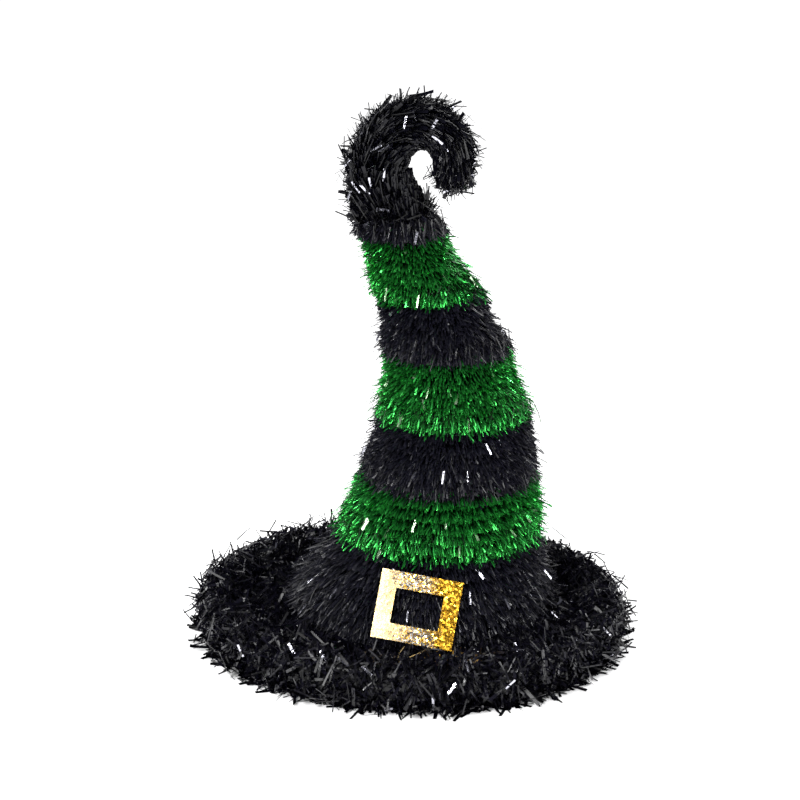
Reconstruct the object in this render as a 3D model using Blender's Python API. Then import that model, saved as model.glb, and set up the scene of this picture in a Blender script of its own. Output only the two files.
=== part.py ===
"""Tinsel witch hat: a crooked cone with a curled tip on a round brim, for a tabletop.

A welded iron wire frame carries garlands of cut tinsel: coarse black on the brim and on the
tip, fine green and black in bands up the crown, and a gold card buckle on the lowest band.
The hat stands on the brim. Metres, +Z up, the buckle faces -Y, the origin is on the floor
under the middle of the brim.
"""

import math

import bmesh
import bpy
from mathutils import Matrix, Vector
from mathutils.bvhtree import BVHTree

MM = 0.001

# Brim: two turns of coarse garland, slightly oval in plan, with a flat underside.
BRIM_RADIUS = 134.5 * MM
BRIM_OVAL = 5 * MM
BRIM_OVAL_ANGLE = math.radians(155)
BRIM_HEIGHT = 30 * MM
BRIM_INNER_HEIGHT = 22 * MM
BRIM_SEGMENTS = 40

# Crown: the height up to the neck, how far its middle leans, its pile's outer radii, and how
# fast it narrows: 1 is a straight cone, and more narrows sooner.
CROWN_HEIGHT = 272 * MM
CROWN_LEAN = 28 * MM
CROWN_BOTTOM_RADIUS = 64.5 * MM
NECK_RADIUS = 23.5 * MM
CROWN_TAPER = 1.3
BAND_BULGE = 3 * MM
CROWN_SEGMENTS = 24

# The spine's bends: sideways as a share of the lean, upwards as a share of the crown's height.
SPINE_BENDS = (
    (0.18, 0.00),
    (0.18, 0.07),
    (0.36, 0.14),
    (0.70, 0.27),
    (0.92, 0.43),
    (0.97, 0.52),
    (0.85, 0.655),
    (0.50, 0.785),
    (-0.05, 0.91),
    (-0.36, 1.00),
)

# Bands from the brim to the neck: name, colour and share of the crown's length.
BANDS = (
    ("black_base", "black", 69),
    ("green_low", "green", 38),
    ("black_low", "black", 37),
    ("green_mid", "green", 41),
    ("black_mid", "black", 37),
    ("green_top", "green", 42),
    ("black_neck", "black", 17),
)

# Base band: it stands inside the brim and flares over its inner edge.
MOUTH_RADIUS = 60 * MM
BASE_PILE = 15 * MM
BASE_FLARE = 6 * MM
CROWN_FRAME_RADIUS = 45 * MM

# Tip: a garland curled round a see-through eye, thick at its root and thin at its end.
CURL_RISE = 30 * MM
CURL_LEAN = 9.4 * MM
CURL_START = math.radians(186)
CURL_END = math.radians(-42)
CURL_FORWARD = 5 * MM
EYE_WIDTH = 12 * MM
EYE_HEIGHT = 20 * MM
TIP_ROOT_RADIUS = 20 * MM
TIP_END_RADIUS = 11.5 * MM
TIP_SEGMENTS = 12

# Wires, by diameter, and the height of the brim's ring wires.
RING_WIRE = 2.5 * MM
RIB_WIRE = 2 * MM
SPOKE_WIRE = 2 * MM
CORE_WIRE = 1.6 * MM
TIP_WIRE = 3 * MM
RING_HEIGHT = 12 * MM
RIBS = 4
SPOKES = 6
CORE_TURNS = 2

# Buckle: a flat card frame, turned a little and leaning back on the base band.
BUCKLE_WIDTH = 50 * MM
BUCKLE_DEPTH = 42 * MM
BUCKLE_BAR = 10.2 * MM
BUCKLE_CARD = 1 * MM
BUCKLE_HEIGHT = 45 * MM
BUCKLE_SIDE = 4 * MM
BUCKLE_LEAN = math.radians(25)
BUCKLE_TURN = math.radians(10.5)
GLUE_RADIUS = 3.5 * MM
GLUE_LEAST = 1 * MM

# Clearances: between pieces that touch, and round the coiled core wires.
GAP = 0.3 * MM
COIL_GAP = 0.6 * MM

# What follows from the sizes above.
EYE = Vector((EYE_WIDTH / 2, EYE_HEIGHT / 2))
SPOKE_HEIGHT = RING_HEIGHT - RING_WIRE / 2 - GAP - SPOKE_WIRE / 2
BASE_BOTTOM = SPOKE_HEIGHT + SPOKE_WIRE / 2 + GAP
CORE_STACK = RIB_WIRE / 2 + COIL_GAP + CORE_WIRE + COIL_GAP
NECK_FRAME_RADIUS = TIP_WIRE / 2 + GAP + RIB_WIRE + GAP + RIB_WIRE / 2
SKIRT_RADIUS = MOUTH_RADIUS + CORE_STACK + BASE_PILE
CORE_RING_HEIGHT = RING_HEIGHT + RING_WIRE / 2 + GAP + CORE_WIRE / 2
SPINE_START = SPINE_BENDS[0][0] * CROWN_LEAN


def lerp(a, b, t):
    return a + (b - a) * t


def ease(t):
    """0 to 1 with level ends."""
    t = min(max(t, 0.0), 1.0)
    return t * t * (3 - 2 * t)


# ---------------------------------------------------------------- spine


def crown_bend(sideways, upwards):
    return Vector((sideways * CROWN_LEAN, 0, upwards * CROWN_HEIGHT))


def curl_radius(share):
    """Pile radius at this share of the curl, 0 at its root."""
    return lerp(TIP_ROOT_RADIUS, TIP_END_RADIUS, share)


def curl_point(share):
    """A point of the curl's middle line: the eye's outline, moved out by the pile's radius."""
    angle = lerp(CURL_START, CURL_END, share)
    outline = Vector((EYE.x * math.cos(angle), EYE.y * math.sin(angle)))
    outward = Vector((outline.x / EYE.x**2, outline.y / EYE.y**2)).normalized()
    top = crown_bend(*SPINE_BENDS[-1])
    middle = top + Vector((EYE.x + TIP_ROOT_RADIUS - CURL_LEAN, 0, CURL_RISE))
    across = outline + outward * curl_radius(share)
    return middle + Vector((across.x, -CURL_FORWARD * share**2, across.y))


def spine_knots():
    curl_steps = 8
    knots = [crown_bend(*bend) for bend in SPINE_BENDS]
    return knots + [curl_point(step / curl_steps) for step in range(curl_steps + 1)]


def rounded_through(knots, steps):
    """Points of a Catmull-Rom curve through the knots."""
    ends = [2 * knots[0] - knots[1]] + knots + [2 * knots[-1] - knots[-2]]
    points = []
    for a, b, c, d in zip(ends, ends[1:], ends[2:], ends[3:]):
        for step in range(steps):
            t = step / steps
            bend = (c - a) * t + (2 * a - 5 * b + 4 * c - d) * t**2
            points.append(b + (bend + (3 * b - a - 3 * c + d) * t**3) / 2)
    return points + [knots[-1]]


def running_lengths(points):
    lengths = [0.0]
    for a, b in zip(points, points[1:]):
        lengths.append(lengths[-1] + (b - a).length)
    return lengths


SPINE = rounded_through(spine_knots(), steps=12)
SPINE_LENGTHS = running_lengths(SPINE)
TIP_TOP = SPINE_LENGTHS[-1]
CROWN_TOP = SPINE_LENGTHS[12 * (len(SPINE_BENDS) - 1)]
CURL_FOOT = SPINE_LENGTHS[12 * len(SPINE_BENDS)]


def spine_direction(index):
    """The spine's direction at one of its points."""
    before = SPINE[max(index - 1, 0)]
    after = SPINE[min(index + 1, len(SPINE) - 1)]
    return (after - before).normalized()


def spine_at(length):
    """Place and direction of the spine at a length along it, from the floor to the tip's end."""
    length = min(length, TIP_TOP)
    index = 1
    while index < len(SPINE) - 1 and SPINE_LENGTHS[index] < length:
        index += 1
    a, b = SPINE[index - 1], SPINE[index]
    start, end = SPINE_LENGTHS[index - 1], SPINE_LENGTHS[index]
    share = (length - start) / (end - start)
    direction = spine_direction(index - 1).lerp(spine_direction(index), share)
    return a.lerp(b, share), direction.normalized()


def band_edges():
    """Lengths along the spine where the bands meet, from the floor to the neck."""
    whole = sum(band[2] for band in BANDS)
    edges = [0.0]
    for band in BANDS:
        edges.append(edges[-1] + CROWN_TOP * band[2] / whole)
    return edges


EDGES = band_edges()
BASE_TOP = EDGES[1]
FLARE_BOTTOM = BRIM_INNER_HEIGHT + GAP


def around_spine(length, radius, angle):
    """A point beside the spine. Sections lie level up to the neck and square to the spine above."""
    place, direction = spine_at(length)
    turned = ease((length - EDGES[-2]) / (CURL_FOOT - EDGES[-2]))
    up = Vector((0, 0, 1)).lerp(direction, turned).normalized()
    sideways = Vector((0, 1, 0)).cross(up).normalized()
    forwards = up.cross(sideways)
    return place + radius * (math.cos(angle) * sideways + math.sin(angle) * forwards)


# ---------------------------------------------------------------- radii along the crown


def crown_share(length):
    """How much of its narrowing the crown has done at this length."""
    left = max(1 - (length - BASE_TOP) / (CROWN_TOP - BASE_TOP), 0)
    return 1 - left**CROWN_TAPER


def pile_radius(length):
    return lerp(CROWN_BOTTOM_RADIUS, NECK_RADIUS, crown_share(length))


def tip_radius(length):
    """Pile radius of the tip: as wide as the neck at its foot, then tapering round the curl."""
    if length < CURL_FOOT:
        return lerp(NECK_RADIUS, TIP_ROOT_RADIUS, (length - CROWN_TOP) / (CURL_FOOT - CROWN_TOP))
    return curl_radius((length - CURL_FOOT) / (TIP_TOP - CURL_FOOT))


def frame_radius(length):
    """Radius of the ribs' middle lines."""
    if length < BASE_TOP:
        return lerp(MOUTH_RADIUS, CROWN_FRAME_RADIUS, length / BASE_TOP)
    return lerp(CROWN_FRAME_RADIUS, NECK_FRAME_RADIUS, crown_share(length))


def core_radius(length):
    return frame_radius(length) + RIB_WIRE / 2 + COIL_GAP + CORE_WIRE / 2


def pile_inner_radius(length):
    return frame_radius(length) + CORE_STACK


# ---------------------------------------------------------------- building blocks


def material(name, colour, roughness, metallic):
    made = bpy.data.materials.new(name)
    made.use_nodes = True
    shader = made.node_tree.nodes["Principled BSDF"]
    shader.inputs["Base Color"].default_value = (*colour, 1)
    shader.inputs["Roughness"].default_value = roughness
    shader.inputs["Metallic"].default_value = metallic
    return made


def add_object(name, data, finish):
    data.materials.append(finish)
    made = bpy.data.objects.new(name, data)
    bpy.context.scene.collection.objects.link(made)
    return made


def ring_mesh(name, outline, segments, place):
    """A closed ring: the outline's points, placed at each angle, joined into quads."""
    mesh = bmesh.new()
    rows = []
    for step in range(segments):
        angle = 2 * math.pi * step / segments
        rows.append([mesh.verts.new(place(*point, angle)) for point in outline])
    for step, row in enumerate(rows):
        following = rows[(step + 1) % segments]
        for index in range(len(row)):
            beside = (index + 1) % len(row)
            mesh.faces.new((row[index], following[index], following[beside], row[beside]))
    bmesh.ops.recalc_face_normals(mesh, faces=mesh.faces)
    made = bpy.data.meshes.new(name)
    mesh.to_mesh(made)
    mesh.free()
    made.shade_smooth()
    made.set_sharp_from_angle(angle=math.radians(50))
    return made


def add_wire(name, points, diameter, finish, cyclic=False, sides=6):
    """A round wire through these points."""
    curve = bpy.data.curves.new(name, "CURVE")
    curve.dimensions = "3D"
    curve.bevel_depth = diameter / 2
    curve.bevel_resolution = (sides - 4) // 2
    curve.use_fill_caps = not cyclic
    spline = curve.splines.new("POLY")
    spline.points.add(len(points) - 1)
    for knot, point in zip(spline.points, points):
        knot.co = (*point, 1)
    spline.use_cyclic_u = cyclic
    return add_object(name, curve, finish)


# ---------------------------------------------------------------- brim


def brim_inner_edge(angle):
    """Distance from the origin to the base band's skirt, which stands a little to one side."""
    reach = SKIRT_RADIUS + GAP
    return SPINE_START * math.cos(angle) + math.sqrt(reach**2 - (SPINE_START * math.sin(angle)) ** 2)


def brim_outer_edge(angle):
    return BRIM_RADIUS + BRIM_OVAL * math.cos(2 * (angle - BRIM_OVAL_ANGLE))


def brim_radius(share, angle):
    return lerp(brim_inner_edge(angle), brim_outer_edge(angle), share)


def brim_place(share, offset, height, angle):
    radius = brim_radius(share, angle) + offset
    return Vector((radius * math.cos(angle), radius * math.sin(angle), height))


def turn_outline(inner, outer, top):
    """Section of one turn of garland: flat below with a groove for the wires, domed above."""
    middle = (inner + outer) / 2
    groove = RING_WIRE / 2 + GAP
    groove_top = CORE_RING_HEIGHT + CORE_WIRE / 2 + GAP
    half = (outer - inner) / 2
    foot = 0.7
    below = [
        (middle - foot * half, 0, 0),
        (middle, -groove, 0),
        (middle, -groove, groove_top),
        (middle, groove, groove_top),
        (middle, groove, 0),
        (middle + foot * half, 0, 0),
    ]
    above = []
    steps = 6
    for step in range(steps + 1):
        angle = math.pi * step / steps
        reach = middle + half * math.copysign(abs(math.cos(angle)) ** 0.7, math.cos(angle))
        above.append((reach, 0, top * lerp(0.35, 1, math.sin(angle) ** 0.8)))
    return below + above


def turn_spans():
    """The shares of the brim's width that each turn fills, with a gap between them."""
    narrow = BRIM_RADIUS - BRIM_OVAL - SKIRT_RADIUS - SPINE_START
    gap = GAP / narrow
    return {
        "inner": (0.0, 0.5 - gap, BRIM_INNER_HEIGHT),
        "outer": (0.5 + gap, 1.0, BRIM_HEIGHT),
    }


def spoke_angles():
    return [2 * math.pi * (step + 0.5) / SPOKES for step in range(SPOKES)]


def spoke_foot(angle):
    """Distance from the origin to a spoke's inner end, just inside the base hoop."""
    foot = around_spine(SPOKE_HEIGHT, frame_radius(RING_HEIGHT) - RING_WIRE, angle)
    return math.hypot(foot.x, foot.y)


def spoke_end(angle):
    """Distance from the origin to a spoke's outer end, just past the outer ring wire."""
    inner, outer, _ = turn_spans()["outer"]
    return brim_radius((inner + outer) / 2, angle) + RING_WIRE


def add_spoke_cutter(finish):
    """Bars, clear of each other, that make a bore for each spoke through the brim's garlands."""
    mesh = bmesh.new()
    bore = SPOKE_WIRE + 2 * GAP
    for angle in spoke_angles():
        start = spoke_foot(angle) - GAP
        end = spoke_end(angle) + GAP
        size = Matrix.Diagonal((end - start, bore, bore, 1))
        shift = Matrix.Translation(((start + end) / 2, 0, SPOKE_HEIGHT))
        turn = Matrix.Rotation(angle, 4, "Z")
        bmesh.ops.create_cube(mesh, size=1, matrix=turn @ shift @ size)
    bars = bpy.data.meshes.new("spoke_cutter")
    mesh.to_mesh(bars)
    mesh.free()
    cutter = add_object("spoke_cutter", bars, finish)
    cutter.hide_render = True
    cutter.display_type = "WIRE"
    return cutter


def add_brim(tinsel, wire, core):
    cutter = add_spoke_cutter(wire)
    angles = [2 * math.pi * step / BRIM_SEGMENTS for step in range(BRIM_SEGMENTS)]
    for name, (inner, outer, top) in turn_spans().items():
        middle = (inner + outer) / 2
        outline = turn_outline(inner, outer, top)
        pile = ring_mesh(f"brim_{name}_garland", outline, BRIM_SEGMENTS, brim_place)
        garland = add_object(f"brim_{name}_garland", pile, tinsel)
        bores = garland.modifiers.new("spoke_bores", "BOOLEAN")
        bores.operation = "DIFFERENCE"
        bores.solver = "EXACT"
        bores.object = cutter
        ring = [brim_place(middle, 0, RING_HEIGHT, angle) for angle in angles]
        add_wire(f"brim_{name}_ring", ring, RING_WIRE, wire, cyclic=True)
        strand = [brim_place(middle, 0, CORE_RING_HEIGHT, angle) for angle in angles]
        add_wire(f"brim_{name}_core", strand, CORE_WIRE, core, cyclic=True, sides=4)


def add_spokes(wire):
    """Spokes welded under the base hoop and the brim's rings."""
    for number, angle in enumerate(spoke_angles(), start=1):
        reaches = (spoke_foot(angle), spoke_end(angle))
        ends = [Vector((r * math.cos(angle), r * math.sin(angle), SPOKE_HEIGHT)) for r in reaches]
        add_wire(f"brim_spoke_{number}", ends, SPOKE_WIRE, wire)


# ---------------------------------------------------------------- crown frame


def hoop_points(length, radius):
    steps = 24
    return [around_spine(length, radius, 2 * math.pi * step / steps) for step in range(steps)]


def add_hoops(wire):
    """The base hoop, and hoops inside the ribs where every second band ends."""
    base = hoop_points(RING_HEIGHT, frame_radius(RING_HEIGHT))
    add_wire("crown_base_hoop", base, RING_WIRE, wire, cyclic=True)
    for number, edge in enumerate(EDGES[2:-2:2], start=1):
        radius = frame_radius(edge) - RIB_WIRE - GAP
        add_wire(f"crown_hoop_{number}", hoop_points(edge, radius), RIB_WIRE, wire, cyclic=True)


def collar_length():
    """Where the collar holds the ribs' ends to the tip wire, halfway up the neck."""
    return (EDGES[-2] + CROWN_TOP) / 2


def add_collar(wire):
    radius = TIP_WIRE / 2 + GAP + RIB_WIRE / 2
    points = hoop_points(collar_length(), radius)[::2]
    add_wire("neck_collar", points, RIB_WIRE, wire, cyclic=True)


def add_ribs(wire):
    stations = 13
    start = RING_HEIGHT + RING_WIRE / 2 + GAP
    end = CROWN_TOP - RIB_WIRE
    for rib in range(RIBS):
        angle = 2 * math.pi * rib / RIBS
        points = []
        for station in range(stations):
            length = lerp(start, end, station / (stations - 1))
            points.append(around_spine(length, frame_radius(length), angle))
        add_wire(f"crown_rib_{rib + 1}", points, RIB_WIRE, wire)


def tip_stations():
    """Lengths of the tip's sections, closer together where its end is rounded off."""
    even = [lerp(CROWN_TOP + GAP, TIP_TOP - TIP_END_RADIUS, step / 16) for step in range(17)]
    return even + [TIP_TOP - TIP_END_RADIUS * share for share in (0.6, 0.3, 0.1, 0.0)]


def add_tip_wire(wire):
    """The thick wire that a hand bends into the curl; its foot stands in the neck's collar."""
    lengths = [collar_length() - RIB_WIRE * 2] + tip_stations()[:-1]
    points = [around_spine(length, 0, 0) for length in lengths]
    add_wire("tip_wire", points, TIP_WIRE, wire)


# ---------------------------------------------------------------- crown garlands


def inner_wall(top, bottom, steps):
    """The hollow side of a band's section, down along the coiled core."""
    lengths = [lerp(top, bottom, step / steps) for step in range(steps + 1)]
    return [(length, pile_inner_radius(length)) for length in lengths]


def band_outline(bottom, top):
    """Section of a band: fullest near its lower edge, tucked in under the band above."""
    outline = []
    steps = 6
    for step in range(steps):
        share = step / (steps - 1)
        length = lerp(bottom, top, share)
        roll = math.sin(math.pi * share**0.6) - 0.6 * share
        outline.append((length, pile_radius(length) + BAND_BULGE * roll))
    return outline + inner_wall(top, bottom, steps=2)


def base_outline(bottom, top):
    """Section of the base band: a skirt inside the brim and a full roll over its edge."""
    outline = [(bottom, SKIRT_RADIUS), (FLARE_BOTTOM, SKIRT_RADIUS)]
    steps = 6
    for step in range(steps):
        share = step / (steps - 1)
        length = lerp(FLARE_BOTTOM + BASE_FLARE / 2, top, share)
        radius = lerp(SKIRT_RADIUS + BASE_FLARE, CROWN_BOTTOM_RADIUS - BAND_BULGE, share**0.9)
        outline.append((length, radius + BAND_BULGE * math.sin(math.pi * share)))
    return outline + inner_wall(top, bottom, steps=4)


def core_coil(bottom, top):
    """The garland's twisted core, coiled round the ribs from one edge of its band to the other."""
    inset = CORE_WIRE + GAP
    steps = 24 * CORE_TURNS
    points = []
    for step in range(steps + 1):
        length = lerp(bottom + inset, top - inset, step / steps)
        angle = 2 * math.pi * CORE_TURNS * step / steps
        points.append(around_spine(length, core_radius(length), angle))
    return points


def add_bands(tinsels, core):
    """The bands of the crown, each a sleeve of pile round its coiled core."""
    for index, (name, colour, _) in enumerate(BANDS):
        bottom, top = EDGES[index] + GAP / 2, EDGES[index + 1] - GAP / 2
        outline = band_outline(bottom, top)
        if index == 0:
            bottom = BASE_BOTTOM
            outline = base_outline(bottom, top)
        pile = ring_mesh(f"{name}_garland", outline, CROWN_SEGMENTS, around_spine)
        add_object(f"{name}_garland", pile, tinsels[colour])
        start = max(bottom, RING_HEIGHT + RING_WIRE / 2)
        add_wire(f"{name}_core", core_coil(start, top), CORE_WIRE, core, sides=4)


def tip_outline():
    """Section of the tip's garland: its pile outside, the tip wire's bore inside."""
    outline = []
    stations = tip_stations()
    for length in stations:
        radius = tip_radius(length)
        left = TIP_TOP - length
        if left < TIP_END_RADIUS:
            rounded = 1 - ((TIP_END_RADIUS - left) / TIP_END_RADIUS) ** 2
            radius = lerp(TIP_WIRE, radius, math.sqrt(max(rounded, 0)))
        outline.append((length, radius))
    bore = TIP_WIRE / 2 + GAP
    return outline + [(length, bore) for length in reversed(stations)]


def add_tip_garland(tinsel):
    pile = ring_mesh("tip_garland", tip_outline(), TIP_SEGMENTS, around_spine)
    add_object("tip_garland", pile, tinsel)


# ---------------------------------------------------------------- buckle


def buckle_placement(band):
    """The card leans on the base band: its back clears the band by the least depth of glue."""
    facing = Vector((0, -math.cos(BUCKLE_LEAN), math.sin(BUCKLE_LEAN)))
    reach = max(facing.dot(vertex.co) for vertex in band.vertices)
    clear = reach + GAP + GLUE_LEAST + GAP
    forward = (BUCKLE_HEIGHT * math.sin(BUCKLE_LEAN) - clear) / math.cos(BUCKLE_LEAN)
    middle = Matrix.Translation((BUCKLE_SIDE, forward, BUCKLE_HEIGHT))
    lean = Matrix.Rotation(math.radians(90) - BUCKLE_LEAN, 4, "X")
    return middle @ lean @ Matrix.Rotation(-BUCKLE_TURN, 4, "Z")


def depth_to_band(band, place, middle):
    """The shortest way back from the card to the band, over the round foot of a dab of glue."""
    surface = BVHTree.FromPolygons(
        [vertex.co for vertex in band.vertices],
        [face.vertices for face in band.polygons],
    )
    into_band = place.to_3x3() @ Vector((0, 0, -1))
    rays = 16
    depths = []
    for radius in (0, GLUE_RADIUS / 2, GLUE_RADIUS):
        for ray in range(rays):
            angle = 2 * math.pi * ray / rays
            start = middle + radius * Vector((math.cos(angle), math.sin(angle), 0))
            depths.append(surface.ray_cast(place @ start, into_band)[3])
    return min(depths)


def add_glue_dab(name, middle, depth, empty, glue):
    """A dab that fills the way from the card's back to the band."""
    blob = bmesh.new()
    bmesh.ops.create_cone(
        blob,
        cap_ends=True,
        segments=12,
        radius1=GLUE_RADIUS * 0.8,
        radius2=GLUE_RADIUS,
        depth=depth,
    )
    dab = bpy.data.meshes.new(name)
    blob.to_mesh(dab)
    blob.free()
    drop = add_object(name, dab, glue)
    drop.parent = empty
    drop.location = middle - Vector((0, 0, GAP + depth / 2))


def add_buckle(card, glue):
    """The card frame, cut from sheet, and the two dabs of glue behind its side bars."""
    band = bpy.data.objects["black_base_garland"].data
    place = buckle_placement(band)
    empty = bpy.data.objects.new("buckle_place", None)
    bpy.context.scene.collection.objects.link(empty)
    empty.matrix_world = place
    corners = [(-1, -1), (1, -1), (1, 1), (-1, 1)]
    half = Vector((BUCKLE_WIDTH, BUCKLE_DEPTH)) / 2
    window = half - Vector((BUCKLE_BAR, BUCKLE_BAR))
    points = [(x * size.x, y * size.y, 0) for size in (half, window) for x, y in corners]
    faces = [(k, (k + 1) % 4, 4 + (k + 1) % 4, 4 + k) for k in range(4)]
    sheet = bpy.data.meshes.new("buckle_card")
    sheet.from_pydata(points, [], faces)
    buckle = add_object("buckle_card", sheet, card)
    buckle.parent = empty
    thick = buckle.modifiers.new("card", "SOLIDIFY")
    thick.thickness = BUCKLE_CARD
    thick.offset = 1
    for side, name in ((-1, "left"), (1, "right")):
        middle = Vector((side * (half.x - BUCKLE_BAR / 2), 0, 0))
        depth = depth_to_band(band, place, middle) - 2 * GAP
        add_glue_dab(f"glue_dab_{name}", middle, depth, empty, glue)


def clear_scene():
    for old in list(bpy.data.objects):
        bpy.data.objects.remove(old)


def main():
    clear_scene()
    tinsels = {
        "black": material("black_tinsel", (0.012, 0.011, 0.014), 0.35, 0.4),
        "green": material("green_tinsel", (0.0, 0.22, 0.05), 0.3, 0.7),
    }
    coarse = material("coarse_black_tinsel", (0.015, 0.013, 0.018), 0.3, 0.4)
    wire = material("painted_frame_wire", (0.02, 0.02, 0.022), 0.4, 0.8)
    core = material("garland_core_wire", (0.25, 0.25, 0.26), 0.35, 1.0)
    card = material("gold_buckle_card", (0.85, 0.6, 0.15), 0.25, 0.9)
    glue = material("hot_melt_glue", (0.8, 0.76, 0.66), 0.4, 0.0)
    add_brim(coarse, wire, core)
    add_spokes(wire)
    add_hoops(wire)
    add_ribs(wire)
    add_collar(wire)
    add_tip_wire(wire)
    add_bands(tinsels, core)
    add_tip_garland(coarse)
    add_buckle(card, glue)


main()
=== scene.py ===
"""Tinsel witch hat: the cut film, the foil buckle and the wires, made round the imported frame.

Each garland is rebuilt as thousands of thin film strips that grow out of an under-pile. The
strips are laid on the frame's own garland surfaces, so they follow its sizes. Metres, +Z up.
"""

import math

import bpy
import numpy as np
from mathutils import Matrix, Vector


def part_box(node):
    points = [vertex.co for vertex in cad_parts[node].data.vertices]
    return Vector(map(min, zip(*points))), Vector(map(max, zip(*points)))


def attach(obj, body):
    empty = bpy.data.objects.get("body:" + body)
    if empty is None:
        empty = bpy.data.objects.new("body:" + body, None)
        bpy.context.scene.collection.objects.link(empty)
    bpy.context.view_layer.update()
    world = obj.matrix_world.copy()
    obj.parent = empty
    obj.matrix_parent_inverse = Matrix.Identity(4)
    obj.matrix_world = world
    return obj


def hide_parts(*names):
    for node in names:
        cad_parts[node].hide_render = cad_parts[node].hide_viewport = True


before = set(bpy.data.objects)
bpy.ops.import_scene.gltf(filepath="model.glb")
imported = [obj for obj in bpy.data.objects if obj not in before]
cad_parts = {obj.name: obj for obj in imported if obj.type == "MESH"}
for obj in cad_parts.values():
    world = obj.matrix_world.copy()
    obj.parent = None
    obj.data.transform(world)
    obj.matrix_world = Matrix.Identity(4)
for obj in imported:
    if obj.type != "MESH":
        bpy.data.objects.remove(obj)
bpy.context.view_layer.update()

MM = 0.001

# Where the hat is looked at from. The lens is in millimetres, on a sensor 36 mm wide.
VIEW_TILT = math.radians(17)
VIEW_DISTANCE = 1.2
VIEW_TARGET = Vector((-6.3 * MM, 0, 154.5 * MM))
VIEW_LENS = 85.7

# How the film is laid out on its sheet: columns across, each a strip with its own tint.
# The last column is a painted glint: a bright metal tint, for the odd glinting strip.
COLUMNS = 32
GLINT = COLUMNS - 1
ROOT_OF_PILE = 0.04
STRIP_EDGES = (0.04, 0.96)

# Neighbouring strips share a tone, in patches of this size, and each differs by some columns.
TONE_PATCH = 9 * MM
TONE_WAVES = ((1.0, 0.4, 0.7), (-0.5, 1.1, 0.9), (0.8, -0.9, 1.3))
TONE_WAVE_STEP = 2.1
TONE_DAMPING = 9
TONE_SCATTER = 7.0

# Lowest that any strip may lie above the floor.
FLOOR_CLEARANCE = 0.3 * MM

# Corners of a CAD mesh this near each other are one.
WELD = 0.01 * MM

# A wire's first ring of corners lies within this of its lowest point.
END_RING = 1.5 * MM

# Strips this near the buckle card, and no further out from it, go behind it by so much.
CARD_MARGIN = 1.2 * MM
CARD_REACH = 25 * MM
BEHIND_CARD = (0.2 * MM, 1.5 * MM)

UP = np.array((0.0, 0.0, 1.0))


# ---------------------------------------------------------------- vectors, many at a time


def unit(vectors):
    lengths = np.linalg.norm(vectors, axis=-1, keepdims=True)
    return vectors / np.maximum(lengths, 1e-9)


def dot(a, b):
    return (a * b).sum(axis=-1, keepdims=True)


def square_to(vectors, axis):
    """The part of each vector that stands square to its axis, made a unit long."""
    return unit(vectors - dot(vectors, axis) * axis)


def column(values):
    return np.asarray(values, float).reshape(-1, 1)


def turned(vectors, axis, angle):
    """Vectors square to their unit axis, turned about it."""
    angle = column(angle)
    return vectors * np.cos(angle) + np.cross(axis, vectors) * np.sin(angle)


def between(rng, count, low, high, skew=1.0):
    """Random numbers from low to high, more of them low where the skew is over 1."""
    return low + (high - low) * rng.random(count) ** skew


def about(rng, count, middle, spread):
    """Random numbers gathered round a middle one."""
    return middle + spread * rng.standard_normal(count)


def ramp(values, low, high):
    """0 at low, 1 at high, and even between them."""
    return np.clip((values - low) / (high - low), 0, 1)


# ---------------------------------------------------------------- surfaces of the frame


class Surface:
    """The triangles of one CAD node, with a smooth normal at each corner."""

    def __init__(self, node):
        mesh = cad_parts[node].data
        mesh.calc_loop_triangles()
        places = np.empty(len(mesh.vertices) * 3)
        mesh.vertices.foreach_get("co", places)
        corners = np.empty(len(mesh.loop_triangles) * 3, int)
        mesh.loop_triangles.foreach_get("vertices", corners)
        grid = np.round(places.reshape(-1, 3) / WELD).astype(int)
        grid, index = np.unique(grid, axis=0, return_inverse=True)
        self.points = grid * WELD
        self.faces = index.reshape(-1)[corners].reshape(-1, 3)
        a, b, c = (self.points[self.faces[:, k]] for k in range(3))
        crossed = np.cross(b - a, c - a)
        self.areas = np.linalg.norm(crossed, axis=1) / 2
        self.face_normals = unit(crossed)
        summed = np.zeros_like(self.points)
        for k in range(3):
            np.add.at(summed, self.faces[:, k], crossed)
        self.normals = unit(summed)
        self.middles = (a + b + c) / 3

    def sample(self, keep, count, rng):
        """Points spread evenly over the kept faces, with their smooth normals."""
        kept = np.flatnonzero(keep)
        shares = self.areas[kept] / self.areas[kept].sum()
        faces = self.faces[kept[rng.choice(len(kept), count, p=shares)]]
        u, v = rng.random((2, count, 1))
        u, v = np.where(u + v > 1, 1 - u, u), np.where(u + v > 1, 1 - v, v)
        weights = (1 - u - v, u, v)
        points = sum(w * self.points[faces[:, k]] for k, w in enumerate(weights))
        normals = sum(w * self.normals[faces[:, k]] for k, w in enumerate(weights))
        return points, unit(normals)

    def shrunk(self, depth, roughness, rng):
        """The same closed surface drawn in under its skin, and roughened."""
        inset = depth + roughness * rng.standard_normal((len(self.points), 1))
        return self.points - self.normals * inset, self.faces


class Axis:
    """Where the middle of a band of the crown lies at each height."""

    def __init__(self, surface):
        heights = surface.points[:, 2]
        self.fit_x = np.polyfit(heights, surface.points[:, 0], 2)
        self.fit_y = np.polyfit(heights, surface.points[:, 1], 1)

    def outward(self, points):
        middle_x = np.polyval(self.fit_x, points[:, 2])
        middle_y = np.polyval(self.fit_y, points[:, 2])
        flat = np.stack([points[:, 0] - middle_x, points[:, 1] - middle_y], axis=1)
        return unit(np.hstack([flat, np.zeros((len(points), 1))]))


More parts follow.
